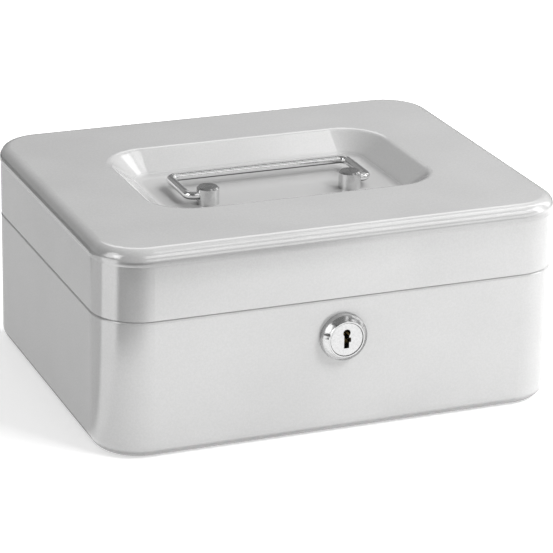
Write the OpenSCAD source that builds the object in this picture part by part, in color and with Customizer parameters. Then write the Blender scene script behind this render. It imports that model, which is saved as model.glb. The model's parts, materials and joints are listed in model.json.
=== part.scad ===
// Lockable cash box: a pressed steel case and lid on two hinges, with a dished
// handle well, a folding wire handle, a cam lock and a lift-out coin tray.
// +X is to the right, the lock faces -Y and +Z is up. The box stands on z = 0.

/* [Case] */
// Overall width of the closed box
case_w = 200; // [184:1:260]
// Overall depth of the closed box, front to back
case_d = 160; // [150:1:210]
// Overall height of the closed box
case_h = 88.4; // [86:0.2:120]
// Corner radius of the case and the lid, seen from above
corner_r = 20; // [14:0.5:26]
// Thickness of the pressed steel sheet
sheet = 0.8; // [0.6:0.1:1]
// Radius of the bend between the walls and the floor
base_r = 6; // [4:0.5:9]
// Height of the shoulder that the lid closes down to
seam_z = 58.8; // [56:0.2:62]

/* [Rim] */
// Clearance between the rim and the inside of the lid
fit_gap = 0.3; // [0.25:0.05:0.5]
// Height of the rim above the shoulder
rim_h = 5.2; // [4:0.2:6]
// Gap between the shoulder and the lower edge of the lid
seam_gap = 0.25; // [0.2:0.05:0.5]

/* [Lid] */
// Radius of the rolled edge round the top of the lid
roll_r = 5; // [3.5:0.5:7]
// How far the rolled edge stands out past the skirt
roll_bulge = 0.3; // [0.2:0.05:0.5]

/* [Handle well] */
// Width of the well at the top of the lid
well_w = 129; // [120:1:140]
// Depth of the well at the top of the lid, front to back
well_d = 82; // [78:1:90]
// How far the well sits behind the middle of the lid
well_y = 2; // [0:0.5:4]
// Height from the well's floor to the top of the lid
well_depth = 9; // [8:0.5:11]
// Corner radius of the well, seen from above
well_r = 20.5; // [17:0.5:24]
// Radius where the lid turns down into the well
lip_r = 4; // [3:0.5:5]
// Radius where the well's wall meets its floor
foot_r = 6; // [4:0.5:7]
// Slope of the well's wall, in degrees from level
well_slope = 37; // [34:1:42]

/* [Handle] */
// Diameter of each handle post
post_d = 9.5; // [8:0.5:11]
// Height of each handle post above the well's floor
post_h = 7.5; // [7:0.25:8.5]
// Width of the chamfer round the top of a post
post_edge = 0.7; // [0.3:0.1:1]
// Distance between the two posts, centre to centre
post_span = 64; // [56:1:72]
// How far the posts sit in front of the middle of the lid
post_front = 9.7; // [7:0.1:11]
// Diameter of the shank that holds a post to the lid
shank_d = 5; // [4:0.5:6]
// Diameter of the washer under a post
post_washer_d = 10; // [9:0.5:12]
// Thickness of the washer under a post
post_washer_t = 1; // [0.8:0.1:1.2]
// Height of the riveted head on a post's shank
rivet_h = 1.1; // [0.8:0.1:1.4]
// Diameter of the riveted head on a post's shank
rivet_d = 7.4; // [6.8:0.1:8.4]
// Metal left behind the blind end of the bore in a post
bore_wall = 2.5; // [2:0.1:4]
// Length of the conical mouth of the bore in a post
mouth_l = 0.8; // [0.5:0.1:1]
// Diameter of the handle's wire
wire_d = 3.5; // [3:0.1:4]
// Height of the handle's axis above the well's floor
axis_h = 4; // [3.8:0.1:4.5]
// Distance from the handle's axis to the middle of its grip bar
bail_reach = 25; // [22:0.5:27]
// Gap between the end of the wire and the blind end of its bore
leg_gap = 0.4; // [0.2:0.1:0.8]
// Gap between a post and the handle's arm beside it
arm_gap = 2; // [1.5:0.1:3]
// Bend radius of the handle, to the middle of the wire
wire_bend_r = 3.2; // [2.6:0.1:4]

/* [Fits] */
// Radial clearance of the turning fits
run_gap = 0.08; // [0.05:0.01:0.1]
// Clearance of the loose fits between fixed pieces
slip_gap = 0.15; // [0.1:0.05:0.3]

/* [Hinges] */
// Distance from each end of the case to its hinge
hinge_end = 25; // [20:1:40]
// Length of each hinge
hinge_l = 30; // [24:1:36]
// Number of knuckles in each hinge
knuckle_n = 5; // [3:2:7]
// Diameter of the hinge pin
hinge_pin_d = 3; // [2.5:0.1:3.5]
// Wall thickness of a knuckle
knuckle_wall = 0.8; // [0.6:0.1:1]
// Gap between two knuckles
knuckle_gap = 0.2; // [0.15:0.05:0.4]
// Thickness of the hinge leaves
leaf_t = 1; // [0.8:0.1:1.2]
// Height of each hinge leaf
leaf_h = 13; // [10:0.5:14]
// How far the hinge axis lies inside the back of the box
hinge_inset = 0.4; // [0.3:0.05:0.5]
// Clearance round the knuckles where the sheet is cut away
notch_gap = 0.4; // [0.3:0.05:0.6]
// Gap between the knuckles and the flat part of the other leaf
leaf_gap = 0.3; // [0.2:0.05:0.5]

/* [Lock] */
// Height of the lock's axis above the floor
lock_z = 42.5; // [40:0.5:43]
// Diameter of the lock's bezel against the case
bezel_d = 20; // [18:0.5:22]
// Diameter of the bezel at its front
bezel_face_d = 18.6; // [16:0.2:20]
// Width of the chamfer round the front of the bezel
bezel_edge = 0.5; // [0.3:0.1:0.8]
// Length of the straight edge at the back of the bezel
bezel_rim = 0.8; // [0.5:0.1:1.2]
// How far the bezel stands out of the case
bezel_h = 4.5; // [3.5:0.25:5.5]
// Diameter of the barrel behind the case's front wall
barrel_d = 15; // [14.5:0.25:16]
// Width across the barrel's two flats
barrel_flats = 13.4; // [13:0.1:14]
// Length of the barrel, from the front of the case
barrel_l = 16; // [14:0.5:17]
// Diameter of the plug's head
plug_head_d = 13.8; // [12.5:0.1:14.4]
// Depth of the seat that holds the plug's head
head_seat = 3.2; // [2:0.2:3.4]
// How far the plug's head lies below the bezel's front
head_recess = 0.3; // [0.2:0.1:0.6]
// Diameter of the plug
plug_d = 10.4; // [10:0.1:10.8]
// Width of the keyway
keyway_w = 2.2; // [1.8:0.1:2.6]
// Height of the keyway
keyway_h = 7.6; // [6.5:0.1:8]
// Depth of the keyway
keyway_l = 15; // [12:0.5:16]
// Width of the keyway's round head
keyway_head_d = 3.2; // [2.8:0.1:3.6]
// How far the keyway's ward step stands out to one side
ward_w = 0.8; // [0.5:0.1:1]
// Number of wafers in the plug
wafer_n = 4; // [2:1:5]
// Distance from the front of the case back to the first wafer's middle
wafer_start = 4; // [3.6:0.1:4.5]
// Distance from one wafer to the next
wafer_pitch = 2.6; // [2:0.1:2.8]
// Thickness of a wafer
wafer_t = 0.9; // [0.7:0.1:1.1]
// Width of a wafer
wafer_w = 4.6; // [4:0.1:5]
// Height of a wafer
wafer_h = 9; // [8.6:0.1:9.2]
// Width of a wafer's two side rails
wafer_rail = 0.8; // [0.6:0.1:1]
// Height of a wafer's two end rails
wafer_end = 1.5; // [1.2:0.1:1.8]
// Clearance of a wafer in its slot
wafer_gap = 0.05; // [0.03:0.01:0.1]
// Thickness of the clip that holds the barrel in the case
clip_t = 1.2; // [0.8:0.1:1.5]
// Width and height of the clip
clip_w = 19; // [18:0.5:20]
// Depth of the grooves that the clip sits in
groove = 0.7; // [0.5:0.1:0.8]
// Clearance of the clip in its grooves
clip_gap = 0.05; // [0.03:0.01:0.1]
// Length of the cam, from the lock's axis to its tip
cam_l = 16; // [14:0.5:17]
// Width of the cam
cam_w = 8; // [7:0.5:9]
// Thickness of the cam
cam_t = 2; // [1.5:0.1:2.4]
// Width of the square on the plug's tail
tail_w = 5.6; // [5:0.1:6]
// Width of metal round the cam's square hole
hub_wall = 3; // [2.4:0.1:3.6]
// Diameter of the screw that holds the cam
cam_screw_d = 2.5; // [2:0.1:3]
// Length of the screw's shank
cam_screw_l = 4; // [3:0.5:6]
// Room left beyond the end of the screw
screw_room = 0.5; // [0.3:0.1:1]
// Diameter of the screw's head
screw_head_d = 6.4; // [5.5:0.1:7]
// Height of the screw's head
screw_head_h = 1.8; // [1.4:0.1:2]
// Width of the two crossed slots in the screw's head
drive_w = 1; // [0.8:0.1:1.2]
// Depth of the two crossed slots in the screw's head
drive_h = 1; // [0.6:0.1:1.2]
// Diameter of the washer under the screw's head
cam_washer_d = 8; // [7.2:0.1:9]
// Thickness of the washer under the screw's head
cam_washer_t = 0.6; // [0.4:0.1:0.8]

/* [Catch] */
// Thickness of the catch plate
catch_t = 1; // [0.8:0.1:1.2]
// Width of the catch's leg beside the lock
catch_leg_w = 6.5; // [5:0.5:7]
// Width of the catch's pad on the lid
catch_pad_w = 16; // [12:0.5:20]
// Height of the catch's pad on the lid
catch_pad_h = 13; // [10:0.5:14]
// Gap between the lock's clip and the catch's leg
catch_side_gap = 1.5; // [1:0.1:2]
// Gap between the rim and the catch's leg
catch_rim_gap = 2.2; // [1.8:0.1:3]
// Gap between the locked cam and the catch's lip
catch_gap = 0.5; // [0.3:0.1:0.8]
// Gap between the top of the rim and the catch's step over it
catch_step_gap = 2; // [1.5:0.1:3]
// How far the catch's lip reaches back past the cam
catch_lip_over = 0.6; // [0.3:0.1:1]

/* [Coin tray] */
// How far the tray's top lies below the shoulder
tray_drop = 1.8; // [1:0.2:3]
// Wall thickness of the tray
tray_t = 1.5; // [1.2:0.1:2]
// Gap between the tray's rim and the ends of the case
tray_gap = 2.4; // [1.5:0.1:3]
// Gap between the tray's rim and the front and back of the case
tray_end_gap = 2.8; // [1.8:0.1:3.4]
// Corner radius of the tray's rim, seen from above
tray_corner_r = 21; // [18:0.5:24]
// Corner radius of the compartments at the tray's corners
cup_corner_r = 15; // [12:0.5:18]
// Width of the tray's rim beside the compartments, at its front and back
tray_lip = 0.5; // [0.3:0.1:0.6]
// Depth of the compartments below the tray's top
tray_depth = 20.5; // [18:0.5:22]
// Number of coin compartments
coin_n = 5; // [3:1:6]
// Thickness of the webs between coin compartments
coin_web = 1.6; // [1.4:0.1:2.2]
// Front-to-back length of the coin compartments
coin_l = 86; // [76:1:92]
// Radius of the scooped sides of a coin compartment
coin_side_r = 14; // [9:0.5:14]
// Radius of the scooped ends of a coin compartment
coin_end_r = 12; // [8:0.5:15]
// Radius round the floor of the front compartment
front_r = 5; // [3:0.5:8]
// Clearance round the lock in the tray's recess
recess_gap = 1.7; // [1.2:0.1:2.5]
// Clearance between the swinging cam and the sides of the recess
recess_side_gap = 5; // [4:0.5:7]
// Thickness of the ledges that carry the tray
ledge_t = 1; // [0.8:0.1:1.2]
// Front-to-back length of a ledge
ledge_l = 70; // [50:1:90]
// Height of a ledge's leg on the wall
ledge_h = 11; // [9:0.5:14]
// Width of a ledge's shelf
ledge_w = 6; // [5:0.2:6.2]
// Gap between a shelf and the side of the tray
ledge_gap = 0.5; // [0.4:0.1:0.8]

/* [Hidden] */
$fn = 64;
lap = 0.5;        // angle, in degrees, by which neighbouring bends overlap
crease_lap = 6;   // angle, in degrees, by which the rolled edge runs on into the skirt
skirt_lap = 0.2;  // length by which the skirt runs up into the rolled edge
over = 1;         // length by which a cutter runs past a face

core_x = case_w / 2 - corner_r;
core_y = case_d / 2 - corner_r;
wall_x = case_w / 2 - sheet;
wall_y = case_d / 2 - sheet;

shoulder_r = sheet + fit_gap;
rim_out = corner_r - shoulder_r;
rim_in = rim_out - sheet;
lid_z = seam_z + seam_gap;
roll_x = corner_r + roll_bulge - roll_r;
crease = acos((corner_r - roll_x) / roll_r);
skirt_top = case_h - roll_r - roll_r * sin(crease) + skirt_lap;

well_hx = well_w / 2 - well_r;
well_hy = well_d / 2 - well_r;
well_z = case_h - well_depth;
wall_drop = well_depth - (lip_r + foot_r) * (1 - cos(well_slope));
wall_l = wall_drop / sin(well_slope);
foot_x = well_r - (lip_r + foot_r) * sin(well_slope) - wall_l * cos(well_slope);

post_x = post_span / 2;
post_y = -post_front;
shank_hole_d = shank_d + 2 * slip_gap;
bore_l = post_d - bore_wall;
wire_r = wire_d / 2;
arm_x = post_x + post_d / 2 + arm_gap + wire_r;
leg_end_x = post_x + post_d / 2 - bore_l + leg_gap;
axis_z = well_z + axis_h;
bar_y = post_y + bail_reach;

hinge_x = case_w / 2 - hinge_end - hinge_l / 2;
hinge_y = case_d / 2 - hinge_inset;
hinge_z = seam_z;
pin_r = hinge_pin_d / 2;
knuckle_r = pin_r + run_gap + knuckle_wall;
knuckle_w = (hinge_l - (knuckle_n - 1) * knuckle_gap) / knuckle_n;
leaf_y = hinge_inset - sheet - leaf_t;
leaf_z = knuckle_r + leaf_gap;
notch_w = hinge_l + 2 * notch_gap;
notch_r = knuckle_r + notch_gap;

plug_r = plug_d / 2;
seat_z = bezel_h - head_seat;
tail_l = cam_t;
catch_x0 = clip_w / 2 + catch_side_gap;
catch_x1 = catch_x0 + catch_leg_w;
catch_web_z = seam_z + rim_h + catch_step_gap;
catch_leg_y = -core_y - rim_in + catch_rim_gap;
catch_lip_z = lock_z - cam_w / 2 - catch_gap;
lock_end = barrel_l + cam_t + cam_washer_t + screw_head_h;
catch_lip_y = -case_d / 2 + barrel_l + cam_t + catch_lip_over;

tray_z = seam_z - tray_drop;
tray_x = core_x + rim_in - tray_gap;
tray_y = core_y + rim_in - tray_end_gap;
shelf_x = wall_x - ledge_w;
tray_side_x = shelf_x - ledge_gap;
tray_in_x = tray_side_x - tray_t;
tray_in_y = tray_y - tray_lip - tray_t;
tray_floor_z = tray_z - tray_depth;
coin_w = (2 * tray_in_x - (coin_n - 1) * coin_web) / coin_n;
coin_front_y = tray_in_y - coin_l;
front_back_y = coin_front_y - coin_web;
recess_x = cam_l + recess_side_gap;
recess_y = -case_d / 2 + lock_end + recess_gap;

// ---- shapes that several pieces share ----

// Part of a ring between two angles, as the section of a bend in the sheet
module ring_sector(r0, r1, a0, a1) {
    reach = 2 * r1;
    mid = (a0 + a1) / 2;
    intersection() {
        difference() {
            circle(r = r1);
            circle(r = r0);
        }
        polygon([[0, 0], reach * [cos(a0), sin(a0)], reach * [cos(mid), sin(mid)],
                 reach * [cos(a1), sin(a1)]]);
    }
}

// Rectangle with round corners: hx and hy reach the corners' centres
module round_rect(hx, hy, r) {
    square([2 * (hx + r), 2 * hy], center = true);
    square([2 * hx, 2 * (hy + r)], center = true);
    for (x = [-hx, hx], y = [-hy, hy])
        translate([x, y]) circle(r = r);
}

// Carries a wall's section round a rectangle with round corners. The section's
// x runs outward from the rectangle through the corners' centres, its y is z.
module sweep_round(hx, hy) {
    for (q = [0:3]) {
        side = q % 2 == 0 ? [hx, hy] : [hy, hx];
        rotate([0, 0, 90 * q]) translate([side[0], side[1], 0]) {
            rotate_extrude(angle = 90) children();
            rotate([90, 0, 0]) linear_extrude(height = 2 * side[1]) children();
        }
    }
}

// Both hinges share one set of modules: side is -1 for left and 1 for right
module at_hinge(side) {
    translate([side * hinge_x, hinge_y, hinge_z]) children();
}

// The lock's own frame: z runs forward along its axis from the case's front
module at_lock() {
    translate([0, -case_d / 2, lock_z]) rotate([90, 0, 0]) children();
}

module at_post(side) {
    translate([side * post_x, post_y, well_z]) children();
}

// ---- case ----

// Floor, bend, wall, shoulder and rim: the section of the pressed case
module case_profile() {
    square([corner_r - base_r, sheet]);
    translate([corner_r - base_r, base_r]) ring_sector(base_r - sheet, base_r, 270 - lap, 360 + lap);
    translate([corner_r - sheet, base_r]) square([sheet, seam_z - shoulder_r - base_r]);
    translate([rim_out, seam_z - shoulder_r]) ring_sector(fit_gap, shoulder_r, -lap, 90 + lap);
    translate([rim_in, seam_z - sheet]) square([sheet, sheet + rim_h]);
}

module hinge_notch(z0, z1) {
    for (side = [-1, 1])
        translate([side * hinge_x - notch_w / 2, core_y + rim_in - over, z0])
            cube([notch_w, corner_r - rim_in + 2 * over, z1 - z0]);
}

module lock_hole() {
    at_lock() translate([0, 0, -sheet - over]) linear_extrude(height = sheet + 2 * over)
        barrel_section(2 * slip_gap);
}

module case_body() {
    color("lightgray") difference() {
        union() {
            sweep_round(core_x, core_y) case_profile();
            translate([-core_x, -core_y, 0]) cube([2 * core_x, 2 * core_y, sheet]);
        }
        hinge_notch(hinge_z - notch_r, seam_z + rim_h + over);
        lock_hole();
    }
}

// ---- lid ----

// The skirt and the rolled edge above it, with a crease between them
module skirt_profile() {
    translate([roll_x, case_h - roll_r]) ring_sector(roll_r - sheet, roll_r, -crease - crease_lap, 90);
    translate([corner_r - sheet, lid_z]) square([sheet, skirt_top - lid_z]);
}

// Lip, sloping wall and foot of the handle well
module well_profile() {
    translate([well_r, case_h - lip_r])
        ring_sector(lip_r - sheet, lip_r, 90 - lap, 90 + well_slope + lap);
    translate([well_r - lip_r * sin(well_slope), case_h - lip_r * (1 - cos(well_slope))])
        rotate(well_slope) translate([-wall_l, -sheet]) square([wall_l, sheet]);
    translate([foot_x, well_z + foot_r])
        ring_sector(foot_r, foot_r + sheet, 270 - lap, 270 + well_slope + lap);
}

module lid() {
    color("gainsboro") difference() {
        union() {
            sweep_round(core_x, core_y) skirt_profile();
            translate([0, 0, case_h - sheet]) linear_extrude(height = sheet) difference() {
                round_rect(core_x, core_y, roll_x);
                translate([0, well_y]) round_rect(well_hx, well_hy, well_r);
            }
            translate([0, well_y, 0]) sweep_round(well_hx, well_hy) well_profile();
            translate([0, well_y, well_z - sheet]) linear_extrude(height = sheet)
                round_rect(well_hx, well_hy, foot_x);
        }
        hinge_notch(lid_z - over, hinge_z + notch_r);
        for (side = [-1, 1])
            at_post(side) translate([0, 0, -sheet - over])
                cylinder(d = shank_hole_d, h = sheet + 2 * over);
    }
}

// ---- hinges ----

// up is 1 for the leaf on the lid and -1 for the leaf on the case
module hinge_leaf(side, first, up, bore_r) {
    at_hinge(side) difference() {
        union() {
            translate([-hinge_l / 2, leaf_y, up > 0 ? leaf_z : -leaf_z - leaf_h])
                cube([hinge_l, leaf_t, leaf_h]);
            for (i = [first:2:knuckle_n - 1])
                translate([-hinge_l / 2 + i * (knuckle_w + knuckle_gap), 0, 0]) {
                    rotate([0, 90, 0]) cylinder(r = knuckle_r, h = knuckle_w);
                    translate([0, leaf_y, up > 0 ? 0 : -leaf_z - over])
                        cube([knuckle_w, leaf_t, leaf_z + over]);
                }
        }
        translate([-hinge_l / 2 - over, 0, 0]) rotate([0, 90, 0])
            cylinder(r = bore_r, h = hinge_l + 2 * over);
    }
}

module case_leaf(side) {
    color("silver") hinge_leaf(side, 0, -1, pin_r);
}

module lid_leaf(side) {
    color("silver") hinge_leaf(side, 1, 1, pin_r + run_gap);
}

module hinge_pin(side) {
    color("gray") at_hinge(side) translate([-hinge_l / 2, 0, 0]) rotate([0, 90, 0])
        cylinder(r = pin_r, h = hinge_l);
}

module hinge_left_case_leaf() { case_leaf(-1); }
module hinge_left_lid_leaf() { lid_leaf(-1); }
module hinge_left_pin() { hinge_pin(-1); }
module hinge_right_case_leaf() { case_leaf(1); }
module hinge_right_lid_leaf() { lid_leaf(1); }
module hinge_right_pin() { hinge_pin(1); }

// ---- handle ----

// A post with its shank riveted over a washer, and a blind bore for the wire
module post(side) {
    grip = sheet + post_washer_t;
    mouth_x = post_d / 2 - mouth_l;
    color("silver") at_post(side) difference() {
        union() {
            cylinder(d = post_d, h = post_h - post_edge);
            translate([0, 0, post_h - post_edge])
                cylinder(d1 = post_d, d2 = post_d - 2 * post_edge, h = post_edge);
            translate([0, 0, -grip]) cylinder(d = shank_d, h = grip);
            translate([0, 0, -grip - rivet_h]) cylinder(d1 = shank_d, d2 = rivet_d, h = rivet_h);
        }
        translate([side * (post_d / 2 - bore_l), 0, axis_h]) rotate([0, side * 90, 0])
            cylinder(r = wire_r + run_gap, h = bore_l + over);
        translate([side * mouth_x, 0, axis_h]) rotate([0, side * 90, 0])
            cylinder(r1 = wire_r + run_gap, r2 = wire_r + run_gap + mouth_l, h = mouth_l);
    }
}

module post_washer(side) {
    color("silver") at_post(side) translate([0, 0, -sheet - post_washer_t]) difference() {
        cylinder(d = post_washer_d, h = post_washer_t);
        translate([0, 0, -over]) cylinder(d = shank_hole_d, h = post_washer_t + 2 * over);
    }
}

module post_left() { post(-1); }
module post_right() { post(1); }
module post_washer_left() { post_washer(-1); }
module post_washer_right() { post_washer(1); }

module wire(l) {
    cylinder(r = wire_r, h = l);
}

// A quarter bend, from +X round to +Y about its own centre
module wire_bend() {
    rotate_extrude(angle = 90) translate([wire_bend_r, 0]) circle(r = wire_r);
}

module bail_half() {
    bend_x = arm_x - wire_bend_r;
    translate([leg_end_x, 0, 0]) rotate([0, 90, 0]) wire(bend_x - leg_end_x);
    translate([bend_x, wire_bend_r, 0]) rotate([0, 0, -90]) wire_bend();
    translate([arm_x, wire_bend_r, 0]) rotate([-90, 0, 0]) wire(bail_reach - 2 * wire_bend_r);
    translate([bend_x, bail_reach - wire_bend_r, 0]) wire_bend();
    translate([0, bail_reach, 0]) rotate([0, 90, 0]) wire(bend_x);
}

module bail_handle() {
    color("silver") translate([0, post_y, axis_z]) {
        bail_half();
        mirror([1, 0, 0]) bail_half();
    }
}

// ---- lock ----

// Round with two flats at its sides. extra is what the whole section grows by.
module barrel_section(extra) {
    intersection() {
        circle(d = barrel_d + extra);
        square([barrel_flats + extra, barrel_d + extra + over], center = true);
    }
}

module lock_housing() {
    flat_x = barrel_flats / 2 - groove;
    color("silver") at_lock() difference() {
        union() {
            rotate_extrude() polygon([[0, 0], [bezel_d / 2, 0], [bezel_d / 2, bezel_rim],
                                      [bezel_face_d / 2, bezel_h - bezel_edge],
                                      [bezel_face_d / 2 - bezel_edge, bezel_h], [0, bezel_h]]);
            translate([0, 0, -barrel_l]) linear_extrude(height = barrel_l) barrel_section(0);
        }
        translate([0, 0, -barrel_l - over])
            cylinder(r = plug_r + run_gap, h = barrel_l + bezel_h + 2 * over);
        translate([0, 0, seat_z]) cylinder(d = plug_head_d + 2 * run_gap, h = head_seat + over);
        for (s = [-1, 1])
            translate([s > 0 ? flat_x : -flat_x - groove - over, -barrel_d / 2, -sheet - clip_t - clip_gap])
                cube([groove + over, barrel_d, clip_t + clip_gap]);
    }
}

module lock_clip() {
    slot_x = barrel_flats / 2 - groove + clip_gap;
    color("gray") at_lock() translate([0, 0, -sheet - clip_t])
        linear_extrude(height = clip_t) difference() {
            square([clip_w, clip_w], center = true);
            translate([-slot_x, -clip_w / 2 - over])
                square([2 * slot_x, clip_w / 2 + over + barrel_d / 2 + clip_gap]);
        }
}

// The keyway: a slot with a wider head and a ward step
module keyway_section() {
    square([keyway_w, keyway_h], center = true);
    translate([0, (keyway_h - keyway_w) / 2]) circle(d = keyway_head_d);
    translate([0, -keyway_h / 6]) square([keyway_w / 2 + ward_w, keyway_h / 4]);
}

module wafer_places() {
    for (i = [0:wafer_n - 1])
        translate([0, 0, -wafer_start - i * wafer_pitch]) children();
}

module lock_plug() {
    color("silver") at_lock() difference() {
        union() {
            translate([0, 0, seat_z]) cylinder(d = plug_head_d, h = head_seat - head_recess);
            translate([0, 0, -barrel_l]) cylinder(r = plug_r, h = barrel_l + seat_z);
            translate([-tail_w / 2, -tail_w / 2, -barrel_l - tail_l]) cube([tail_w, tail_w, tail_l]);
        }
        translate([0, 0, bezel_h - keyway_l]) linear_extrude(height = keyway_l) keyway_section();
        wafer_places() cube([wafer_w + 2 * wafer_gap, plug_d, wafer_t + 2 * wafer_gap], center = true);
        translate([0, 0, -barrel_l - tail_l - over])
            cylinder(d = cam_screw_d, h = over + cam_screw_l + screw_room);
    }
}

// Each wafer has a window that the key's blade passes through
module lock_wafers() {
    color("goldenrod") at_lock() wafer_places() difference() {
        cube([wafer_w, wafer_h, wafer_t], center = true);
        cube([wafer_w - 2 * wafer_rail, wafer_h - 2 * wafer_end, wafer_t + 2 * over], center = true);
    }
}

// The cam points up while unlocked and to the right while locked
module lock_cam() {
    tip_r = cam_w / 2;
    color("gray") at_lock() translate([0, 0, -barrel_l - cam_t])
        linear_extrude(height = cam_t) difference() {
            union() {
                circle(r = tail_w / 2 + hub_wall);
                translate([-tip_r, 0]) square([cam_w, cam_l - tip_r]);
                translate([0, cam_l - tip_r]) circle(r = tip_r);
            }
            square(tail_w + slip_gap, center = true);
        }
}

module cam_washer() {
    color("silver") at_lock() translate([0, 0, -barrel_l - cam_t - cam_washer_t]) difference() {
        cylinder(d = cam_washer_d, h = cam_washer_t);
        translate([0, 0, -over]) cylinder(d = cam_screw_d + 2 * slip_gap, h = cam_washer_t + 2 * over);
    }
}

module cam_screw() {
    head_z = -barrel_l - cam_t - cam_washer_t;
    color("silver") at_lock() {
        translate([0, 0, head_z]) cylinder(d = cam_screw_d, h = cam_screw_l);
        difference() {
            translate([0, 0, head_z - screw_head_h]) cylinder(d = screw_head_d, h = screw_head_h);
            for (a = [0, 90])
                rotate([0, 0, a]) translate([-screw_head_d / 4, -drive_w / 2, head_z - screw_head_h - over])
                    cube([screw_head_d / 2, drive_w, over + drive_h]);
        }
    }
}

// Pad on the lid, step over the rim, leg beside the lock and lip under the cam
module catch_plate() {
    pad_x = (catch_x0 + catch_x1 - catch_pad_w) / 2;
    color("gray") {
        translate([pad_x, -wall_y, catch_web_z]) cube([catch_pad_w, catch_t, catch_pad_h]);
        translate([catch_x0, -wall_y, catch_web_z])
            cube([catch_leg_w, catch_leg_y + catch_t + wall_y, catch_t]);
        translate([catch_x0, catch_leg_y, catch_lip_z - catch_t])
            cube([catch_leg_w, catch_t, catch_web_z - catch_lip_z + catch_t]);
        translate([catch_x0, catch_leg_y, catch_lip_z - catch_t])
            cube([catch_leg_w, catch_lip_y - catch_leg_y, catch_t]);
    }
}

// ---- coin tray ----

// A compartment's section: straight sides down to rounded lower corners
module cup_section(a0, a1, z0, z1, r) {
    intersection() {
        translate([a0, z0]) square([a1 - a0, z1 - z0]);
        union() {
            translate([a0, z0 + r]) square([a1 - a0, z1 - z0]);
            translate([a0 + r, z0]) square([a1 - a0 - 2 * r, z1 - z0]);
            for (a = [a0 + r, a1 - r])
                translate([a, z0 + r]) circle(r = r);
        }
    }
}

// A compartment as a solid: side_r rounds it across and end_r along. grow
// thickens it outward and down.
module compartment(x0, x1, y0, y1, side_r, end_r, grow, top) {
    intersection() {
        translate([0, y1 + grow, 0]) rotate([90, 0, 0]) linear_extrude(height = y1 - y0 + 2 * grow)
            cup_section(x0 - grow, x1 + grow, tray_floor_z - grow, top, side_r + grow);
        translate([x0 - grow, 0, 0]) rotate([90, 0, 90]) linear_extrude(height = x1 - x0 + 2 * grow)
            cup_section(y0 - grow, y1 + grow, tray_floor_z - grow, top, end_r + grow);
    }
}

module coin_compartments(grow, top) {
    for (i = [0:coin_n - 1]) {
        x0 = -tray_in_x + i * (coin_w + coin_web);
        compartment(x0, x0 + coin_w, coin_front_y, tray_in_y, coin_side_r, coin_end_r, grow, top);
    }
}

module front_compartment(grow, top) {
    compartment(-tray_in_x, tray_in_x, -tray_in_y, front_back_y, front_r, front_r, grow, top);
}

// The recess that the tray leaves for the lock, with wall as its thickness
module lock_recess(wall) {
    translate([-recess_x - wall, -tray_y - over, tray_floor_z - tray_t - over])
        cube([2 * (recess_x + wall), recess_y + tray_y + over + wall, tray_depth + tray_t + 2 * over]);
}

// The plan that every compartment keeps to, so that the tray clears the case's corners
module tray_plan(grow) {
    translate([0, 0, tray_floor_z - tray_t - over]) linear_extrude(height = tray_depth + tray_t + 2 * over)
        round_rect(tray_in_x - cup_corner_r, tray_in_y - cup_corner_r, cup_corner_r + grow);
}

module coin_tray() {
    color("dimgray") difference() {
        union() {
            translate([0, 0, tray_z - tray_t]) linear_extrude(height = tray_t)
                round_rect(tray_x - tray_corner_r, tray_y - tray_corner_r, tray_corner_r);
            intersection() {
                union() {
                    coin_compartments(tray_t, tray_z);
                    front_compartment(tray_t, tray_z);
                }
                tray_plan(tray_t);
            }
        }
        intersection() {
            union() {
                coin_compartments(0, tray_z + over);
                difference() {
                    front_compartment(0, tray_z + over);
                    lock_recess(tray_t);
                }
            }
            tray_plan(0);
        }
        lock_recess(0);
    }
}

// An angle against the case's end wall, with a shelf under the tray's rim
module ledge(side) {
    shelf_z = tray_z - tray_t;
    color("lightgray") mirror([side > 0 ? 0 : 1, 0, 0]) {
        translate([wall_x - ledge_t, -ledge_l / 2, shelf_z - ledge_h]) cube([ledge_t, ledge_l, ledge_h]);
        translate([shelf_x, -ledge_l / 2, shelf_z - ledge_t]) cube([ledge_w, ledge_l, ledge_t]);
    }
}

module ledge_left() { ledge(-1); }
module ledge_right() { ledge(1); }

case_body();
lid();
hinge_left_case_leaf();
hinge_left_lid_leaf();
hinge_left_pin();
hinge_right_case_leaf();
hinge_right_lid_leaf();
hinge_right_pin();
catch_plate();
post_left();
post_right();
post_washer_left();
post_washer_right();
bail_handle();
lock_housing();
lock_clip();
lock_plug();
lock_wafers();
lock_cam();
cam_washer();
cam_screw();
coin_tray();
ledge_left();
ledge_right();
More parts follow.
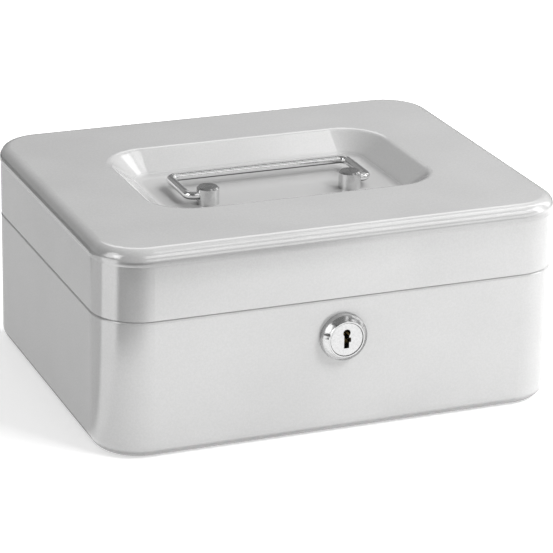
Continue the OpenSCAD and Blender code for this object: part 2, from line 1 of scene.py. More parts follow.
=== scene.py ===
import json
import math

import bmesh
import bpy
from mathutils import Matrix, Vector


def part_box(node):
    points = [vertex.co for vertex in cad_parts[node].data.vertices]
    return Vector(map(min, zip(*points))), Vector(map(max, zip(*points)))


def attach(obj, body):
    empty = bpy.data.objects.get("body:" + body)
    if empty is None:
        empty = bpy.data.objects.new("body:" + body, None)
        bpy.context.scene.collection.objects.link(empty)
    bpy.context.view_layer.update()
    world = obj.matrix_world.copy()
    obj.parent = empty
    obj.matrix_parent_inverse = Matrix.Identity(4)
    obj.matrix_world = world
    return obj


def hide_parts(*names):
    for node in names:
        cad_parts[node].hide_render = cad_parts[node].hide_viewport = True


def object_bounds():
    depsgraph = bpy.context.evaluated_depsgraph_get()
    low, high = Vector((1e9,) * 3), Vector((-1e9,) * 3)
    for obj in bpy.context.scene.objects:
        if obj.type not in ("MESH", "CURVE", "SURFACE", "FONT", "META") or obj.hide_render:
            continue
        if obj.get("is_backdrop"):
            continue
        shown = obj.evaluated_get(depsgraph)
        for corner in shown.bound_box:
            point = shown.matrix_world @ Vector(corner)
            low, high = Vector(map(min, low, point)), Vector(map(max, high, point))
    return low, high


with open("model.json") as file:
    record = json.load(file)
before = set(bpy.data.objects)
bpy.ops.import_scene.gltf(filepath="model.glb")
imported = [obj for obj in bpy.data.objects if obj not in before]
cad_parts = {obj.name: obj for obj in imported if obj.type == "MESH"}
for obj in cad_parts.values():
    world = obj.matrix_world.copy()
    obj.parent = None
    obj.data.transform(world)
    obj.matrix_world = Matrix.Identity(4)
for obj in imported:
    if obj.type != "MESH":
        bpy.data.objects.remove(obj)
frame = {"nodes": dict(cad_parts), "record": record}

# %% [markdown]
# # A lockable cash box
# The box is two pressed steel shells in pale grey paint, held together by two
# hinges at the back. A chromed cam lock sits in the front wall, and a chromed
# wire handle folds into a dished well in the lid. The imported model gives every
# solid piece at its real size and place. These cells give each piece its
# finish, make again the pieces that a camera sees closely, and set up a small
# white studio.

MM = 0.001
cad_low, cad_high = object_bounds()
nodes = frame["nodes"]


def show(label, *lengths):
    """Prints lengths, given in metres, as millimetres."""
    print(label + ":", " x ".join(f"{value / MM:.2f}" for value in lengths), "mm")


show("closed box", *(cad_high - cad_low))

# %% [markdown]
# ## Writing a finish as sums
# A finish is a network of nodes, and most of it is arithmetic: one pattern
# times a strength, plus another. Wrapping a node's output in a small class
# lets that arithmetic be written as plain Python, and each sign adds its own
# Math node. Every other node comes from one method, which sets the node's
# settings first, because they decide which sockets it has.


# %% A value in a material
class Value:
    """An output socket. Arithmetic on it adds Math nodes to its material."""

    def __init__(self, tree, socket):
        self.tree = tree
        self.socket = socket

    def math(self, operation, first, second):
        node = self.tree.nodes.new("ShaderNodeMath")
        node.operation = operation
        for socket, value in zip(node.inputs, (first, second)):
            plug(self.tree, socket, value)
        return Value(self.tree, node.outputs[0])

    def __add__(self, other):
        return self.math("ADD", self, other)

    def __sub__(self, other):
        return self.math("SUBTRACT", self, other)

    def __rsub__(self, other):
        return self.math("SUBTRACT", other, self)

    def __mul__(self, other):
        return self.math("MULTIPLY", self, other)

    __radd__ = __add__
    __rmul__ = __mul__


def plug(tree, socket, value):
    """Links a Value to a socket, or sets the socket to a plain value."""
    if isinstance(value, Value):
        tree.links.new(value.socket, socket)
    elif socket.type == "RGBA" and len(value) == 3:
        socket.default_value = (*value, 1)
    else:
        socket.default_value = value


def find(sockets, name):
    """The socket with this identifier or, failing that, this name."""
    for socket in sockets:
        if socket.identifier == name:
            return socket
    return sockets[name]


# %% Any node, in any tree
class Nodes:
    """A node tree under construction, with one method that adds any node."""

    def __init__(self, tree):
        self.tree = tree

    def node(self, kind, settings=None, inputs=None, output=0):
        """Adds a node: its settings first, then its sockets' values or links."""
        node = self.tree.nodes.new(kind)
        for name, value in (settings or {}).items():
            setattr(node, name, value)
        for name, value in (inputs or {}).items():
            plug(self.tree, find(node.inputs, name), value)
        if not node.outputs:
            return node
        if isinstance(output, int):
            return Value(self.tree, node.outputs[output])
        return Value(self.tree, find(node.outputs, output))

    def parts(self, vector):
        """The x, y and z of a vector, as three values."""
        split = "ShaderNodeSeparateXYZ"
        return [self.node(split, None, {"Vector": vector}, axis) for axis in "XYZ"]

    def ramp(self, value, low, high):
        """0 at low, 1 at high, and a smooth step between them. low may be the greater."""
        inputs = {"Value": value, "From Min": low, "From Max": high}
        return self.node("ShaderNodeMapRange", {"interpolation_type": "SMOOTHSTEP"}, inputs)

    def band(self, value, low, high, soft):
        """1 between low and high, falling to 0 over the soft width outside them."""
        return self.ramp(value, low - soft, low) * self.ramp(value, high + soft, high)

    def mix(self, mask, first, second):
        """A colour: first where mask is 0 and second where it is 1."""
        inputs = {"Factor_Float": mask, "A_Color": first, "B_Color": second}
        return self.node("ShaderNodeMix", {"data_type": "RGBA"}, inputs, "Result_Color")

    def blend(self, mask, first, second):
        """A number: first where mask is 0 and second where it is 1."""
        return first + mask * (second - first)


# %% A material under construction
class Finish(Nodes):
    """A material with one Principled shader and patterns in the object's own space."""

    def __init__(self, name):
        self.material = bpy.data.materials.new(name)
        self.material.use_nodes = True
        super().__init__(self.material.node_tree)
        self.shader = self.tree.nodes["Principled BSDF"]
        self.place = self.node("ShaderNodeTexCoord", output="Object")

    def noise(self, size, detail=2, roughness=0.5):
        """Soft noise from 0 to 1 whose grains are about this size, in metres."""
        inputs = {"Vector": self.place, "Scale": 1 / size, "Detail": detail,
                  "Roughness": roughness}
        return self.node("ShaderNodeTexNoise", None, inputs, "Fac")

    def bump(self, height, depth, under=None):
        """A normal from a pattern whose full height is depth, in metres."""
        inputs = {"Height": height, "Distance": depth, "Strength": 1}
        if under:
            inputs["Normal"] = under
        return self.node("ShaderNodeBump", None, inputs)

    def done(self, **inputs):
        """Gives the shader its values and links, and hands over the material."""
        for name, value in inputs.items():
            plug(self.tree, self.shader.inputs[name.replace("_", " ")], value)
        print("finish", self.material.name, "with", len(self.tree.nodes), "nodes")
        return self.material


def grey(level):
    """A neutral colour from its level on a display, 0 to 255."""
    share = level / 255
    return ((share + 0.055) / 1.055) ** 2.4 if share > 0.04045 else share / 12.92


def neutral(level, warm=0.0):
    """A near-neutral colour. warm shifts it a little from blue to red."""
    value = grey(level)
    return (value * (1 + warm), value, value * (1 - warm))


# %% [markdown]
# ## Grey paint
# The shells are sprayed with a pale grey enamel and stoved. Close up it isn't
# flat: the film dries in an orange peel, two or three millimetres from crest
# to crest, with a finer grain on it, and its tone drifts a little over the
# width of a hand. Peel and grain go into a bump, and the drift into the colour
# and the gloss.
#
# Two places differ from the rest. The floor of the handle's well has a duller
# gloss, and shade is painted into its colour there, for the light the well's
# walls keep off it. Under the front of the lid's rolled edge, shade is painted
# into the crease and fades down the skirt. Each is a mask made from the
# piece's own coordinates, so it turns with the lid.

# %% Where the paint is duller, and where shade is painted into it
WELL_X = (-60 * MM, 60 * MM)
WELL_Y = (-36 * MM, 40 * MM)
WELL_EDGE = 2 * MM
POST_RISE = 7.5 * MM
CREASE_DROP = 5.1 * MM


def well_floor(finish):
    """1 on the floor of the lid's handle well, and 0 everywhere else."""
    x, y, z = finish.parts(finish.place)
    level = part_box("post_left")[1].z - POST_RISE
    inside = finish.band(x, *WELL_X, WELL_EDGE) * finish.band(y, *WELL_Y, WELL_EDGE)
    below = finish.ramp(z, level + 2.4 * MM, level + 0.4 * MM)
    above = finish.ramp(z, level - 6 * MM, level - 3 * MM)
    return inside * below * above


def painted_crease_shade(finish):
    """How much shade is painted into the crease under the front of the lid's rolled edge."""
    x, y, z = finish.parts(finish.place)
    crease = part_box("lid")[1].z - CREASE_DROP
    front = finish.ramp(y, -74 * MM, -79 * MM)
    below = finish.ramp(z, crease + 0.9 * MM, crease + 0.1 * MM)
    along = 1 - 0.6 * finish.ramp(x, -25 * MM, 35 * MM)
    narrow = 0.26 * finish.ramp(z, crease - 3 * MM, crease)
    wide = 0.17 * finish.ramp(z, crease - 14 * MM, crease - 1 * MM)
    return front * below * along * (narrow + wide)


show("the well's floor is at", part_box("post_left")[1].z - POST_RISE)
show("the crease is at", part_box("lid")[1].z - CREASE_DROP)

# %% Grey paint
PAINT = neutral(203, 0.002)
FLAKE = 0.25


def tinted(colour, share):
    """The colour times share, held at or below 1."""
    return tuple(min(1, share * part) for part in colour)


def paint_finish(name, colour):
    finish = Finish(name)
    grain = finish.noise(0.7 * MM, detail=3)
    peel = finish.noise(2.4 * MM)
    drift = finish.noise(45 * MM)
    specks = finish.ramp(finish.noise(0.45 * MM, detail=1), 0.56, 0.78)
    dull_and_shaded = well_floor(finish)
    tone = finish.mix(finish.ramp(drift, 0.3, 0.7), tinted(colour, 0.97), tinted(colour, 1.02))
    tone = finish.mix(0.10 * finish.ramp(grain, 0.35, 0.65), tone, neutral(150))
    tone = finish.mix(0.12 * specks, tone, neutral(232))
    # Painted shade on the well's floor; the same mask also dulls the gloss there.
    tone = finish.mix(0.9 * dull_and_shaded, tone, tinted(colour, 0.76))
    # Painted shade in the crease under the rolled edge, fading down the skirt.
    tone = finish.mix(painted_crease_shade(finish), tone, neutral(20))
    relief = finish.bump(peel, 0.010 * MM, finish.bump(grain, 0.004 * MM))
    return finish.done(
        Base_Color=tone,
        Metallic=FLAKE,
        Roughness=0.10 + 0.05 * drift + 0.03 * grain + 0.22 * dull_and_shaded,
        Coat_Weight=1 - 0.8 * dull_and_shaded,
        Coat_Roughness=0.035,
        Normal=relief,
    )


paint = paint_finish("grey_paint", PAINT)

# %% [markdown]
# ## Chrome plate
# The lock and the handle are plated. Chrome is nearly a mirror, so its look
# comes from what stands round it. What breaks the mirror up is small: a slight
# ripple of the polished metal under the plate and a haze of fine scratches.
# Turned pieces keep the lathe's fine rings, which stretch what they mirror and
# make it darker. Below a given height a wire's colour may be darkened: painted
# shade, for the dark that the lower side of the handle's wire mirrors.

# %% Chrome plate
def chrome_finish(name, polish, turned, bright, hazed, shaded_below=None):
    """Chrome with a roughness, a stretch, and the display levels of its two tones."""
    finish = Finish(name)
    ripple = finish.noise(3 * MM)
    haze = finish.ramp(finish.noise(1.2 * MM, detail=5, roughness=0.7), 0.35, 0.75)
    tone = finish.mix(haze, neutral(bright), neutral(hazed))
    if shaded_below is not None:
        # Painted shade: the colour darkens below the given height.
        height = finish.parts(finish.place)[2]
        underside_shade = finish.ramp(height, shaded_below, shaded_below - 0.5 * MM)
        tone = finish.mix(0.85 * underside_shade, tone, neutral(90))
    relief = finish.bump(ripple, 0.01 * MM)
    return finish.done(
        Base_Color=tone, Metallic=1, Roughness=polish + 0.07 * haze, Normal=relief,
        Anisotropic=turned,
    )


chrome = chrome_finish("drawn_chrome", polish=0.07, turned=0, bright=243, hazed=230)
turned_chrome = chrome_finish("turned_chrome", polish=0.14, turned=0.85, bright=214, hazed=205)

# %% [markdown]
# ## Zinc plate, brass and tray plastic
# The hinges and the hidden parts of the lock are zinc plated: a duller metal
# whose crystals show as soft patches. The wafers are stamped brass. The tray is
# moulded in black plastic with a fine grain etched into the mould.

# %% Zinc plate
def zinc_finish(name):
    finish = Finish(name)
    cells = finish.node(
        "ShaderNodeTexVoronoi", {"feature": "F1"},
        {"Vector": finish.place, "Scale": 1 / (1.6 * MM)}, "Color",
    )
    patch = finish.node("ShaderNodeSeparateColor", None, {"Color": cells})
    cloud = finish.noise(6 * MM, detail=3)
    tone = finish.mix(0.5 * patch + 0.5 * cloud, neutral(158, -0.01), neutral(196, -0.015))
    relief = finish.bump(finish.noise(0.5 * MM), 0.006 * MM)
    return finish.done(
        Base_Color=tone, Metallic=1, Roughness=0.34 + 0.14 * cloud, Normal=relief
    )


zinc = zinc_finish("zinc_plate")

# %% Brass
def brass_finish(name):
    finish = Finish(name)
    tarnish = finish.ramp(finish.noise(2 * MM, detail=4), 0.35, 0.7)
    tone = finish.mix(tarnish, (0.78, 0.57, 0.25), (0.52, 0.34, 0.13))
    relief = finish.bump(finish.noise(0.3 * MM), 0.004 * MM)
    return finish.done(Base_Color=tone, Metallic=1, Roughness=0.3 + 0.2 * tarnish, Normal=relief)


brass = brass_finish("stamped_brass")

# %% Tray plastic
def plastic_finish(name):
    finish = Finish(name)
    grain = finish.node(
        "ShaderNodeTexVoronoi", {"feature": "SMOOTH_F1"},
        {"Vector": finish.place, "Scale": 1 / (0.7 * MM), "Smoothness": 0.4}, "Distance",
    )
    handling = finish.ramp(finish.noise(28 * MM, detail=4), 0.4, 0.7)
    tone = finish.mix(handling, neutral(45), neutral(51))
    relief = finish.bump(grain, 0.03 * MM)
    return finish.done(Base_Color=tone, Roughness=0.5 - 0.08 * handling, Normal=relief)


plastic = plastic_finish("tray_plastic")

# %% [markdown]
# ## Which piece has which finish
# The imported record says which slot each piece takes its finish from, so one
# short table of slots dresses all the pieces that keep their own shape. The
# posts and the lock's plug are turned, so they get the chrome with rings.

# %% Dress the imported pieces
finishes = {"paint": paint, "chrome": chrome, "zinc": zinc, "brass": brass, "plastic": plastic}
counts = dict.fromkeys(finishes, 0)
for part in frame["record"]["subparts"]:
    mesh = nodes[part["node"]].data
    mesh.materials.clear()
    mesh.materials.append(finishes[part["material_slot"]])
    counts[part["material_slot"]] += 1
for name in ("post_left", "post_right", "lock_plug"):
    nodes[name].data.materials[0] = turned_chrome
print("pieces by slot:", counts)

# %% [markdown]
# ## The lock's bezel
# The bezel is turned on a lathe: a cone runs from the wall to a narrow ring
# round the plug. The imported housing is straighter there, so a copy of it is
# merged into one surface and its front rings are drawn in. Everything behind
# the cone, the barrel with its flats and grooves, stays as it was packed.
#
# A ring is known by its radius and by how far behind the front it lies. The
# table gives three rings: the front edge, the edge behind its chamfer, and the
# edge of the seat, which opens a little so that a dark line shows round the plug.

# %% The rings that move
housing_low, housing_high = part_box("lock_housing")
LOCK_X = (housing_low.x + housing_high.x) / 2
LOCK_Z = (housing_low.z + housing_high.z) / 2
# From radius, to radius, depth and new radius, all in millimetres.
RINGS = ((8.0, 9.05, 0.3, 7.65), (9.05, 9.5, 0.8, 7.95), (6.8, 7.2, 0.3, 7.15))


def drawn_in(radius, behind):
    """The new radius of a point, from its radius and its depth behind the front."""
    for inner, outer, depth, drawn in RINGS:
        if inner * MM < radius < outer * MM and behind < depth * MM:
            return drawn * MM
    return radius


# %% Draw in the bezel's front
shape = bmesh.new()
shape.from_mesh(nodes["lock_housing"].data)
bmesh.ops.remove_doubles(shape, verts=shape.verts, dist=0.001 * MM)
moved = 0
for vertex in shape.verts:
    across, rise = vertex.co.x - LOCK_X, vertex.co.z - LOCK_Z
    radius = math.hypot(across, rise)
    drawn = drawn_in(radius, vertex.co.y - housing_low.y)
    if drawn != radius:
        vertex.co.x = LOCK_X + across * drawn / radius
        vertex.co.z = LOCK_Z + rise * drawn / radius
        moved += 1
mesh = bpy.data.meshes.new("lock_bezel")
shape.to_mesh(mesh)
shape.free()
mesh.shade_smooth()
mesh.set_sharp_from_angle(angle=math.radians(20))
mesh.materials.append(turned_chrome)
bezel = bpy.data.objects.new("lock_bezel", mesh)
bpy.context.scene.collection.objects.link(bezel)
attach(bezel, "case")
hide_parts("lock_housing")
print("lock_bezel with", moved, "points drawn in, of", len(mesh.vertices))

# %% [markdown]
# ## The handle's wire
# The handle is one length of round wire, bent to a shallow U and then turned in
# at both ends, where it runs in the posts. A wire is a path and a thickness, so
# Geometry Nodes make it as the wire bender does: straight lines first, then a
# bend of one radius at each corner, then a round section swept along it. The
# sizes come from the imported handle's own box, so it stays in its bores.

# %% Tree helpers
def named_input(tree, name, kind, value):
    """A named input of a node group, which each modifier can set."""
    socket = tree.interface.new_socket(name, in_out="INPUT", socket_type=kind)
    socket.default_value = value
    return socket


def grown(name, mesh, tree, values, body, replaced=()):
    """Runs a node group on a mesh and keeps the result as a plain, finished piece."""
    seed = bpy.data.objects.new(name + "_path", mesh)
    bpy.context.scene.collection.objects.link(seed)
    modifier = seed.modifiers.new("grow", "NODES")
    modifier.node_group = tree
    for socket, value in values.items():
        modifier[socket.identifier] = value
    evaluated = seed.evaluated_get(bpy.context.evaluated_depsgraph_get())
    plain = bpy.data.meshes.new_from_object(evaluated)
    seed.modifiers.remove(modifier)
    bpy.data.objects.remove(seed)
    plain.name = name
    piece = bpy.data.objects.new(name, plain)
    bpy.context.scene.collection.objects.link(piece)
    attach(piece, body)
    if replaced:
        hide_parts(*replaced)
    corners = [vertex.co for vertex in plain.vertices]
    span = [max(c[i] for c in corners) - min(c[i] for c in corners) for i in range(3)]
    show(f"{name} with {len(plain.polygons)} faces", *span)


def path_mesh(name, points):
    """An open chain of edges through the points."""
    mesh = bpy.data.meshes.new(name)
    mesh.from_pydata(points, [(i, i + 1) for i in range(len(points) - 1)], [])
    return mesh


# %% A tree that bends a wire
def wire_tree(material):
    tree = bpy.data.node_groups.new("bent_wire", "GeometryNodeTree")
    tree.is_modifier = True
    tree.interface.new_socket("Geometry", in_out="INPUT", socket_type="NodeSocketGeometry")
    thickness = named_input(tree, "Wire Diameter", "NodeSocketFloat", 3.5 * MM)
    bend = named_input(tree, "Bend Radius", "NodeSocketFloat", 3 * MM)
    tree.interface.new_socket("Geometry", in_out="OUTPUT", socket_type="NodeSocketGeometry")
    grow = Nodes(tree)
    start = tree.nodes.new("NodeGroupInput")
    path = Value(tree, start.outputs["Geometry"])
    radius = 0.5 * Value(tree, start.outputs["Wire Diameter"])
    curve = grow.node("GeometryNodeMeshToCurve", None, {"Mesh": path})
    bent = grow.node("GeometryNodeFilletCurve", {"mode": "POLY"}, {
        "Curve": curve, "Count": 12, "Radius": Value(tree, start.outputs["Bend Radius"]),
    })
    section = grow.node("GeometryNodeCurvePrimitiveCircle", {"mode": "RADIUS"},
                        {"Resolution": 40, "Radius": radius})
    swept = grow.node("GeometryNodeCurveToMesh", None,
                      {"Curve": bent, "Profile Curve": section, "Fill Caps": True})
    smooth = grow.node("GeometryNodeSetShadeSmooth", None, {"Geometry": swept})
    real = grow.node("GeometryNodeRealizeInstances", None, {"Geometry": smooth})
    finished = {"Geometry": real, "Material": material}
    dressed = grow.node("GeometryNodeSetMaterial", None, finished)
    end = tree.nodes.new("NodeGroupOutput")
    tree.links.new(dressed.socket, end.inputs["Geometry"])
    return tree, thickness, bend


# %% Bend the handle's wire
handle_low, handle_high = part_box("bail_handle")
wire = handle_high.z - handle_low.z
BEND = 3.2 * MM
BORE_DEPTH = 6.6 * MM
axis_y = handle_low.y + wire / 2
axis_z = (handle_low.z + handle_high.z) / 2
arm_x = handle_high.x - wire / 2
grip_y = handle_high.y - wire / 2
leg_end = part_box("post_right")[1].x - BORE_DEPTH
u_path = [(-leg_end, axis_y), (-arm_x, axis_y), (-arm_x, grip_y),
          (arm_x, grip_y), (arm_x, axis_y), (leg_end, axis_y)]
# The wire's lower side gets painted shade in its colour.
wire_chrome = chrome_finish(
    "wire_chrome", polish=0.07, turned=0, bright=243, hazed=230, shaded_below=axis_z - 0.5 * MM,
)
tree, thickness, bend = wire_tree(wire_chrome)
grown(
    "bail_wire", path_mesh("bail_path", [(x, y, axis_z) for x, y in u_path]), tree,
    {thickness: wire, bend: BEND}, "handle", ("bail_handle",),
)

# %% [markdown]
# ## Spot welds
# The hinge leaves, the catch plate and the tray's ledges are spot welded to the
# shells. Each weld leaves a low round nugget in the thin steel. They all have
# one shape, so one small lens is placed on a few points, and a vector input
# says how wide it is along the wall and how far it stands out of it.

# %% A tree that puts a lens on each point
def weld_tree(name, material):
    tree = bpy.data.node_groups.new(name, "GeometryNodeTree")
    tree.is_modifier = True
    tree.interface.new_socket("Geometry", in_out="INPUT", socket_type="NodeSocketGeometry")
    size = named_input(tree, "Weld Size", "NodeSocketVector", (1 * MM, 1 * MM, 1 * MM))
    tree.interface.new_socket("Geometry", in_out="OUTPUT", socket_type="NodeSocketGeometry")
    grow = Nodes(tree)
    start = tree.nodes.new("NodeGroupInput")
    unit = {"Segments": 16, "Rings": 8, "Radius": 1.0}
    ball = grow.node("GeometryNodeMeshUVSphere", None, unit)
    spread = grow.node("GeometryNodeInstanceOnPoints", None, {
        "Points": Value(tree, start.outputs["Geometry"]), "Instance": ball,
        "Scale": Value(tree, start.outputs["Weld Size"]),
    })
    real = grow.node("GeometryNodeRealizeInstances", None, {"Geometry": spread})
    smooth = grow.node("GeometryNodeSetShadeSmooth", None, {"Geometry": real})
    finished = {"Geometry": smooth, "Material": material}
    dressed = grow.node("GeometryNodeSetMaterial", None, finished)
    end = tree.nodes.new("NodeGroupOutput")
    tree.links.new(dressed.socket, end.inputs["Geometry"])
    return tree, size


def welds(name, points, size, body, slot):
    """Grows a weld on each point, in the finish of the slot."""
    tree, socket = weld_tree(name + "_tree", finishes[slot])
    mesh = bpy.data.meshes.new(name + "_points")
    mesh.from_pydata(points, [], [])
    grown(name, mesh, tree, {socket: size}, body)


# %% Spot welds on the hinges
WELD = 1.9 * MM
WELD_HEIGHT = 0.14 * MM
SHEET = 1.0 * MM
FROM_EDGE = 4 * MM
FROM_LEAF_END = 7 * MM
on_back = (WELD, WELD_HEIGHT, WELD)
on_side = (WELD_HEIGHT, WELD, WELD)


def leaf_welds(leaf, at_top):
    """Two welds on the inner face of a hinge leaf, in the half away from its knuckles."""
    low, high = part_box(leaf)
    z = high.z - FROM_EDGE if at_top else low.z + FROM_EDGE
    return [(x, low.y, z) for x in (low.x + FROM_LEAF_END, high.x - FROM_LEAF_END)]


sides = ("left", "right")
on_case = [p for side in sides for p in leaf_welds(f"hinge_{side}_case_leaf", False)]
on_lid = [p for side in sides for p in leaf_welds(f"hinge_{side}_lid_leaf", True)]
welds("hinge_welds_case", on_case, on_back, "case", "zinc")
welds("hinge_welds_lid", on_lid, on_back, "lid", "zinc")

# %% Spot welds on the catch plate and the ledges
low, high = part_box("catch_plate")
ends = (low.x + FROM_EDGE, high.x - FROM_EDGE)
on_catch = [(x, low.y + SHEET, high.z - FROM_EDGE) for x in ends]
welds("catch_welds", on_catch, on_back, "lid", "paint")
on_ledges = []
for side, sign in (("left", 1), ("right", -1)):
    low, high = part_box(f"ledge_{side}")
    face = (low.x if sign > 0 else high.x) + sign * SHEET
    along = [low.y + (high.y - low.y) * k / 8 for k in (1, 3, 5, 7)]
    on_ledges += [(face, y, low.z + FROM_EDGE) for y in along]
welds("ledge_welds", on_ledges, on_side, "case", "paint")

# %% [markdown]
# ## The studio
# A white sweep in a light tent. Two things are kept apart. The light that falls
# on the box is soft and comes mostly from above and the front right. What the
# gloss and the chrome mirror is a room: bright panels at the front right, a
# dark ceiling with one bright strip, a dark left side and a dim back, and
# narrow lamps at both sides. Polished things need such dark parts. In an even
# white room chrome has no edges to mirror and looks like plaster.
#
# The room is a table of bright and dark patches by direction. A bearing runs
# from the front, to the right, and a height from the horizon, both in degrees.
# Each patch is blended over those before it.

# %% The room's patches
AMBIENT = 0.475
CEILING, CEILING_STRIP = 0.22, 1.0
BACK, BACK_RIGHT, BACK_LEFT = 0.20, 0.26, 0.30
FRONT_RIGHT = (4, 82, 8)
FRONT_RIGHT_WALL = 0.24
# Panels at the front right: the heights over which each comes in, and its brightness.
PANELS = ((14, 10, 1.0), (24, 29, 1.15), (44, 50, 0.22))
LEFT_SIDE = (-122, -8, 6)
LEFT_WALL = 0.14
# Lamps: bearing, height, half width, half height, soft edge, brightness.
REAR_LAMP = (160, 39, 16, 7, 3, 1.0)
SIDE_LAMPS = (
    (-90, 30, 9, 22, 3, 1.5),
    (106, 36, 6, 30, 3, 1.5),
    (-74, 29, 13, 17, 2, 1.6),
    (-74, 29, 5, 7, 3, 3.0),
    (68, 22, 8, 18, 3, 2.2),
)


def bearing_of(x, y):
    """The bearing of the direction x, y, in degrees."""
    return x.math("ARCTAN2", x, 0 - y) * (180 / math.pi)


def add_lamp(sky, bearing, height, level, lamp):
    """Blends one soft-edged lamp over the room."""
    at, up, wide, tall, soft, bright = lamp
    across = sky.band(bearing, at - wide, at + wide, soft)
    return sky.blend(across * sky.band(height, up - tall, up + tall, soft), level, bright)


# %% The room that gloss mirrors
def room(sky):
    """The brightness of the room by direction."""
    x, y, z = sky.parts(sky.node("ShaderNodeTexCoord", output="Generated"))
    bearing = bearing_of(x, y)
    height = z.math("ARCSINE", z, 0) * (180 / math.pi)
    level = sky.blend(sky.ramp(bearing, 170, 145), BACK, BACK_RIGHT)
    level = sky.blend(sky.ramp(bearing, -128, -140), level, BACK_LEFT)
    level = sky.blend(sky.ramp(height, 28, 40), level, CEILING)
    right = sky.band(bearing, *FRONT_RIGHT)
    level = sky.blend(right, level, FRONT_RIGHT_WALL)
    for start, full, bright in PANELS:
        level = sky.blend(right * sky.ramp(height, start, full), level, bright)
    strip = sky.ramp(y - 3 * x, -1.05, -1.20) * sky.ramp(height, 58, 62)
    level = sky.blend(strip, level, CEILING_STRIP)
    level = add_lamp(sky, bearing, height, level, REAR_LAMP)
    left = sky.band(bearing, *LEFT_SIDE) * sky.ramp(height, 60, 52)
    level = sky.blend(left, level, LEFT_WALL)
    for lamp in SIDE_LAMPS:
        level = add_lamp(sky, bearing, height, level, lamp)
    return level


# %% World
world = bpy.data.worlds.new("studio")
world.use_nodes = True
bpy.context.scene.world = world
world.node_tree.nodes.clear()
sky = Nodes(world.node_tree)
camera_ray = sky.node("ShaderNodeLightPath", output="Is Camera Ray")
glossy_ray = sky.node("ShaderNodeLightPath", output="Is Glossy Ray")
clear_ray = sky.node("ShaderNodeLightPath", output="Is Transmission Ray")
brightness = sky.blend(glossy_ray, AMBIENT, room(sky))
brightness = sky.blend(camera_ray.math("MAXIMUM", camera_ray, clear_ray), brightness, 1.0)
backdrop = sky.node("ShaderNodeBackground", None, {"Color": (1, 1, 1), "Strength": brightness})
sky.node("ShaderNodeOutputWorld", None, {"Surface": backdrop})
print("world with", len(sky.tree.nodes), "nodes")

# %% [markdown]
# ## The floor
# The floor is one wide white sheet that keeps the box's shadow. The gloss of
# the walls mirrors it at a low angle, so how bright each part of the table is
# shows as soft bands on the corners. A pattern on the floor, seen by glossy
# rays alone, gives it those brighter and darker parts, and a narrow shade
# where the box stands on it.

# %% The table that gloss mirrors
TABLE_NEAR, TABLE_FAR = 1.30, 0.15
LEFT_STRIP = 1.45
CORNER_GAP = 0.02
BESIDE_LEFT, FAR_LEFT, BEHIND = 0.61, 0.05, 0.2
# The shade under the box: how strong it is, where the outline's straight sides
# end, and the corner radii between which it fades.
CONTACT = 0.55
STRAIGHT_X, STRAIGHT_Y = 80 * MM, 60 * MM
FADE_OUT, FADE_IN = 22 * MM, 19.5 * MM


def length_of(finish, vector):
    return finish.node(
        "ShaderNodeVectorMath", {"operation": "LENGTH"}, {"Vector": vector}, "Value",
    )


def under_box(finish, x, y):
    """1 where the box stands, and 0 outside its rounded outline."""
    past_x = x.math("MAXIMUM", x.math("ABSOLUTE", x, 0) - STRAIGHT_X, 0)
    past_y = y.math("MAXIMUM", y.math("ABSOLUTE", y, 0) - STRAIGHT_Y, 0)
    return finish.ramp(past_x * past_x + past_y * past_y, FADE_OUT ** 2, FADE_IN ** 2)


def table_tone(finish):
    """How bright the table is in a mirror, from its place about the box."""
    x, y = finish.parts(finish.place)[:2]
    bearing = bearing_of(x, y)
    level = finish.blend(finish.ramp(y, -0.32, -0.45), TABLE_NEAR, TABLE_FAR)
    corner = finish.ramp(bearing, 16, -32) * finish.ramp(bearing, -66, -56)
    away = finish.ramp(length_of(finish, finish.place), 0.205, 0.275)
    level = finish.blend(corner * away, level, CORNER_GAP)
    level = finish.blend(finish.band(bearing, -98, -66, 6), level, LEFT_STRIP)
    left = finish.ramp(y + 0.26 * x, -0.088, -0.068) * finish.ramp(x, -0.08, -0.10)
    level = finish.blend(left, level, BESIDE_LEFT)
    far_left = finish.ramp(y, 0.10, 0.17) * finish.ramp(x, -0.185, -0.205)
    level = finish.blend(far_left, level, FAR_LEFT)
    behind = finish.ramp(y, 0.10, 0.30) * finish.ramp(x, -0.08, 0.02)
    level = finish.blend(behind, level, BEHIND)
    return finish.blend(CONTACT * under_box(finish, x, y), level, 0.0)


# %% Floor
FLOOR_SIZE = 6.0
FLOOR_GLOW = 0.5
FAR_GLOW = 0.25

floor = Finish("floor_white")
seen = floor.node("ShaderNodeLightPath", output="Is Camera Ray")
mirrored = floor.node("ShaderNodeLightPath", output="Is Glossy Ray")
far = floor.ramp(length_of(floor, floor.place), 0.4, 1.6)
floor_white = floor.done(
    Base_Color=(0.8, 0.8, 0.8), Roughness=0.9, Specular_IOR_Level=0.0,
    Emission_Color=(1, 1, 1), Emission_Strength=seen * (FLOOR_GLOW + FAR_GLOW * far),
)
glow = floor.node("ShaderNodeEmission", None, {"Color": (1, 1, 1), "Strength": table_tone(floor)})
both = floor.node("ShaderNodeMixShader", None, {
    "Fac": mirrored, "Shader": Value(floor.tree, floor.shader.outputs[0]), "Shader_001": glow,
})
floor.tree.links.new(both.socket, floor.tree.nodes["Material Output"].inputs["Surface"])

half = FLOOR_SIZE / 2
mesh = bpy.data.meshes.new("floor")
corners = [(-half, -half, 0), (half, -half, 0), (half, half, 0), (-half, half, 0)]
mesh.from_pydata(corners, [], [(0, 1, 2, 3)])
mesh.materials.append(floor_white)
sheet = bpy.data.objects.new("floor", mesh)
bpy.context.scene.collection.objects.link(sheet)
sheet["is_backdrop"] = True
print("floor", FLOOR_SIZE, "m wide")

# %% [markdown]
# ## The lamps
# Two square softboxes light the box: a small one at the front right draws the
# soft edges of the shadows, and a large one at the right fills them. Gloss
# mirrors the painted room and not these lamps, so each can be set alone.

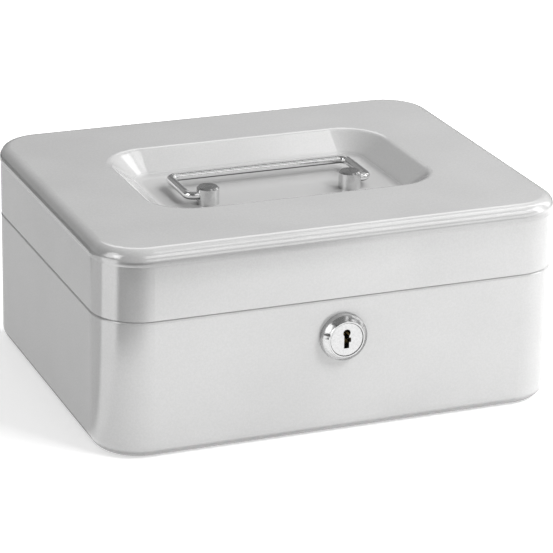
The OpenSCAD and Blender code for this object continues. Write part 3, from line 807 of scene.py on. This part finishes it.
# %% Lamps
def softbox(name, place, target, size, watts):
    """A square area lamp that faces target, in metres and watts, unseen by gloss."""
    lamp = bpy.data.lights.new(name, "AREA")
    lamp.shape = "SQUARE"
    lamp.size = size
    lamp.energy = watts
    box = bpy.data.objects.new(name, lamp)
    box.location = place
    box.rotation_euler = (Vector(target) - Vector(place)).to_track_quat("-Z", "Y").to_euler()
    box.visible_glossy = False
    bpy.context.scene.collection.objects.link(box)
    print("softbox", name, "of", watts, "W")


middle = (cad_low + cad_high) / 2
softbox("key", (0.7, -0.9, 1.1), middle, size=0.5, watts=13)
softbox("top", (0.9, 0.25, 0.95), middle, size=1.0, watts=22)

# %% [markdown]
# ## The camera
# A long lens stands in front of the box, a little to its left and above it,
# and is turned by about a degree about its own axis.

# %% Camera
AZIMUTH = math.radians(-22.187)
ELEVATION = math.radians(20.671)
ROLL = math.radians(1.116)
DISTANCE = 1175.3 * MM
LENS = 179.196
SIDE_STEP = 3.063 * MM
LOWERING = 4.481 * MM

back = Vector((
    math.sin(AZIMUTH) * math.cos(ELEVATION),
    -math.cos(AZIMUTH) * math.cos(ELEVATION),
    math.sin(ELEVATION),
))
sideways = Vector((math.cos(AZIMUTH), math.sin(AZIMUTH), 0))
upward = back.cross(sideways)
right = math.cos(ROLL) * sideways + math.sin(ROLL) * upward
up = math.cos(ROLL) * upward - math.sin(ROLL) * sideways
aim = Vector((0, 0, cad_high.z / 2))
eye = aim + DISTANCE * back + SIDE_STEP * right - LOWERING * up
lens = bpy.data.cameras.new("camera")
lens.sensor_width = 36
lens.lens = LENS
lens.clip_end = 100
camera = bpy.data.objects.new("camera", lens)
camera.matrix_world = Matrix((
    (right.x, up.x, back.x, eye.x),
    (right.y, up.y, back.y, eye.y),
    (right.z, up.z, back.z, eye.z),
    (0, 0, 0, 1),
))
bpy.context.scene.collection.objects.link(camera)
bpy.context.scene.camera = camera
bpy.context.scene.view_settings.view_transform = "Standard"
show("camera to box", (eye - aim).length)

# %% Sizes
low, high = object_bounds()
show("visual model", *(high - low))
